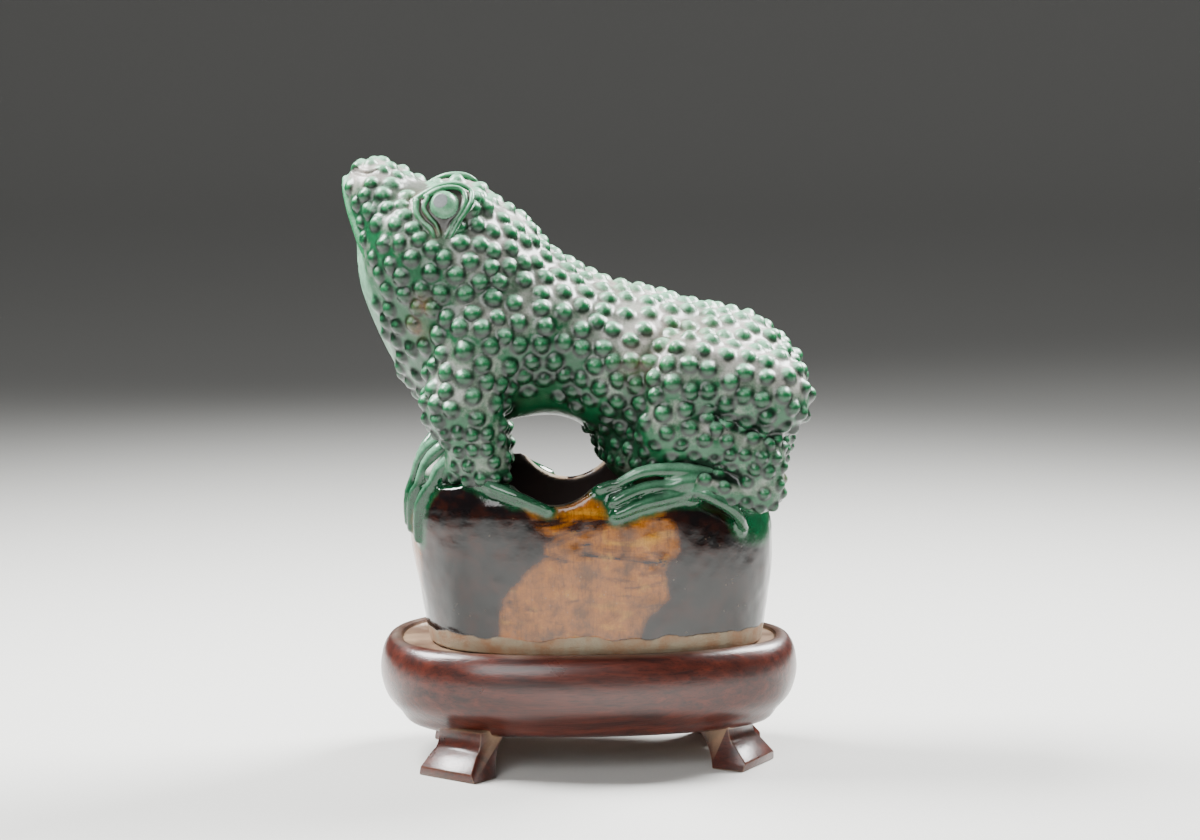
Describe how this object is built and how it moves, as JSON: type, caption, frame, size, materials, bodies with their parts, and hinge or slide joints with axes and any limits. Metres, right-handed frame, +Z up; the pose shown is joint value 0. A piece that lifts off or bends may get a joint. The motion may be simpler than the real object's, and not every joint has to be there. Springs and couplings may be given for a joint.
{
  "type": "ornamental toad figure on stand",
  "caption": "Green glazed porcelain toad covered in round warts, sitting up on a hollow oval rock, resting on an oval carved wooden stand with flared feet.",
  "frame": {"origin": "on the table, under the middle of the bounding box", "axes": "+Z up, the toad looks along -X, its sides face +Y and -Y"},
  "size_m": [0.151, 0.0904, 0.1947],
  "materials": {
    "glaze": "green lead glaze over domed warts, with an aubergine-black and amber glazed rock below",
    "rosewood": "dark reddish-brown polished hardwood"
  },
  "bodies": {
    "root": {"porcelain_toad": "glaze", "wooden_stand": "rosewood"}
  },
  "joints": []
}
